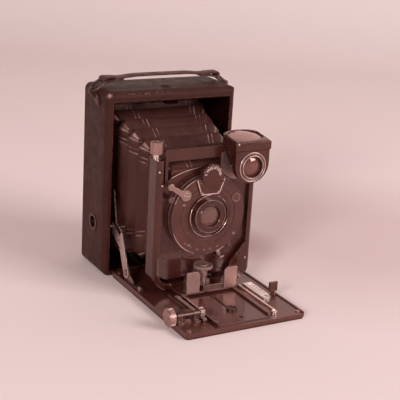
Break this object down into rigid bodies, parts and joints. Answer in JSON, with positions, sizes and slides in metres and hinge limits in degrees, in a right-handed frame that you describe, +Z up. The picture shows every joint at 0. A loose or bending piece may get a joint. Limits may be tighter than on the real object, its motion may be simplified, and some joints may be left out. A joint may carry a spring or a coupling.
{
  "type": "folding plate camera",
  "caption": "Black folding plate camera, opened: leather case, pleated bellows, U shaped standard with shutter and finder, and a baseboard with rack focusing.",
  "frame": {"origin": "mouth of the tripod bush under the baseboard, on the table plane", "axes": "X to the right as seen from the lens, +Y from the lens to the back of the case, Z up"},
  "size_m": [0.1232, 0.1818, 0.1559],
  "materials": {
    "leather": null,
    "bellows_leather": "smooth",
    "lining": "matt black",
    "bed_paint": "satin black",
    "lacquer": "gloss black",
    "nickel": "polished nickel",
    "dull_metal": "worn nickel",
    "wood": "stained black",
    "clear_glass": "clear",
    "matt_glass": "ground"
  },
  "bodies": {
    "case": {"case_shell": "leather", "case_liner": "lining", "back_frame": "lining", "bed_plate": "bed_paint", "bed_leather": "leather", "bed_hinge": "dull_metal", "bed_screws": "nickel", "case_rails": "dull_metal", "guide_rails": "bed_paint", "index_rail": "nickel", "scale_plate": "nickel", "strut_left": "nickel", "strut_right": "nickel", "strut_brackets": "nickel", "pinion_bearing": "nickel", "tripod_bushes": "dull_metal", "handle_lugs": "dull_metal", "catch_plate": "nickel", "back_rails": "dull_metal", "bellows_rear": "bellows_leather"},
    "button": {"release_button": "leather"},
    "handle": {"handle_strap": "leather", "handle_rings": "nickel"},
    "track": {"track_plate": "bed_paint", "track_rack": "dull_metal", "stop_spring": "nickel", "bellows_front": "bellows_leather"},
    "pinion": {"focus_knob": "nickel", "focus_shaft": "nickel"},
    "base": {"standard_base": "dull_metal", "cross_bar": "bed_paint"},
    "wheel": {"shift_wheel": "nickel"},
    "grip_l": {"grip_left": "nickel"},
    "grip_r": {"grip_right": "nickel"},
    "frame": {"standard_frame": "lacquer"},
    "panel": {"lens_panel": "lacquer", "finder_bracket": "nickel", "bellows_box": "lining", "shutter_housing": "lacquer", "shutter_face": "lacquer", "dial_plate": "lacquer", "lens_barrel": "lacquer", "front_glass": "clear_glass", "iris_blades": "lacquer", "cable_socket": "nickel", "face_screws": "nickel"},
    "dial": {"speed_dial": "lacquer"},
    "release": {"release_lever": "nickel"},
    "aperture": {"aperture_lever": "nickel"},
    "rise": {"rise_knob": "nickel", "rise_spindle": "nickel"},
    "finder": {"finder_body": "lacquer", "finder_cap": "lacquer", "finder_top_glass": "clear_glass", "finder_trim": "nickel", "finder_lens": "clear_glass"},
    "screen": {"screen_frame": "wood", "ground_glass": "matt_glass"},
    "hood": {"hood_lid": "leather"},
    "lock": {"lock_lever": "bed_paint"}
  },
  "joints": [
    {"name": "focus_slide", "type": "slide", "parent": "case", "child": "track", "axis": [0, -1, 0], "range_m": [0, 0.025], "deforming": ["bellows_rear"]},
    {"name": "pinion_spin", "type": "hinge", "parent": "case", "child": "pinion", "pos_m": [0, -0.073, 0.0095], "axis": [-1, 0, 0], "range_deg": [0, 477.48]},
    {"name": "stow_slide", "type": "slide", "parent": "track", "child": "base", "axis": [0, 1, 0], "range_m": [0, 0.0725], "deforming": ["bellows_front"]},
    {"name": "left_grip_squeeze", "type": "slide", "parent": "base", "child": "grip_l", "axis": [1, 0, 0], "range_m": [0, 0.001], "stiffness_N_per_m": 600, "springref_m": -0.001},
    {"name": "right_grip_squeeze", "type": "slide", "parent": "base", "child": "grip_r", "axis": [-1, 0, 0], "range_m": [0, 0.001], "stiffness_N_per_m": 600, "springref_m": -0.001},
    {"name": "cross_slide", "type": "slide", "parent": "base", "child": "frame", "axis": [-1, 0, 0], "range_m": [-0.004, 0.004]},
    {"name": "wheel_spin", "type": "hinge", "parent": "base", "child": "wheel", "pos_m": [-0.0035, -0.0318, 0.02], "axis": [0, 0, 1], "range_deg": [-47.75, 47.75]},
    {"name": "rise_slide", "type": "slide", "parent": "frame", "child": "panel", "axis": [0, 0, 1], "range_m": [0, 0.008]},
    {"name": "rise_spin", "type": "hinge", "parent": "frame", "child": "rise", "pos_m": [-0.0396, -0.0171, 0.11], "axis": [0, 0, 1], "range_deg": [0, 720.1]},
    {"name": "speed_spin", "type": "hinge", "parent": "panel", "child": "dial", "pos_m": [0.0011, -0.03, 0.0962], "axis": [0, 1, 0], "range_deg": [-120, 120]},
    {"name": "release_swing", "type": "hinge", "parent": "panel", "child": "release", "pos_m": [-0.0202, -0.03, 0.0827], "axis": [0, -1, 0], "range_deg": [0, 12], "stiffness_Nm_per_rad": 0.02, "springref_deg": -5.73},
    {"name": "aperture_swing", "type": "hinge", "parent": "panel", "child": "aperture", "pos_m": [0, -0.025, 0.065], "axis": [0, -1, 0], "range_deg": [0, 45]},
    {"name": "finder_turn", "type": "hinge", "parent": "panel", "child": "finder", "pos_m": [0.04, -0.024, 0.107], "axis": [0, -1, 0], "range_deg": [-90, 0]},
    {"name": "screen_slide", "type": "slide", "parent": "case", "child": "screen", "axis": [0, 0, 1], "range_m": [0, 0.125]},
    {"name": "hood_swing", "type": "hinge", "parent": "screen", "child": "hood", "pos_m": [0, 0.0866, 0.1304], "axis": [1, 0, 0], "range_deg": [0, 95]},
    {"name": "lock_swing", "type": "hinge", "parent": "case", "child": "lock", "pos_m": [0.045, -0.056, 0.008], "axis": [0, 0, 1], "range_deg": [0, 40]},
    {"name": "button_press", "type": "slide", "parent": "case", "child": "button", "axis": [0, 0, -1], "range_m": [0, 0.001], "stiffness_N_per_m": 800, "springref_m": -0.001},
    {"name": "handle_tilt", "type": "hinge", "parent": "case", "child": "handle", "pos_m": [0, 0.058, 0.1445], "axis": [1, 0, 0], "range_deg": [-9, 9]}
  ],
  "couplings": [
    {"joint": "pinion_spin", "follows": "focus_slide", "rad_per_m": 333.33},
    {"joint": "wheel_spin", "follows": "cross_slide", "rad_per_m": 208.33},
    {"joint": "rise_spin", "follows": "rise_slide", "rad_per_m": 1570.8}
  ]
}
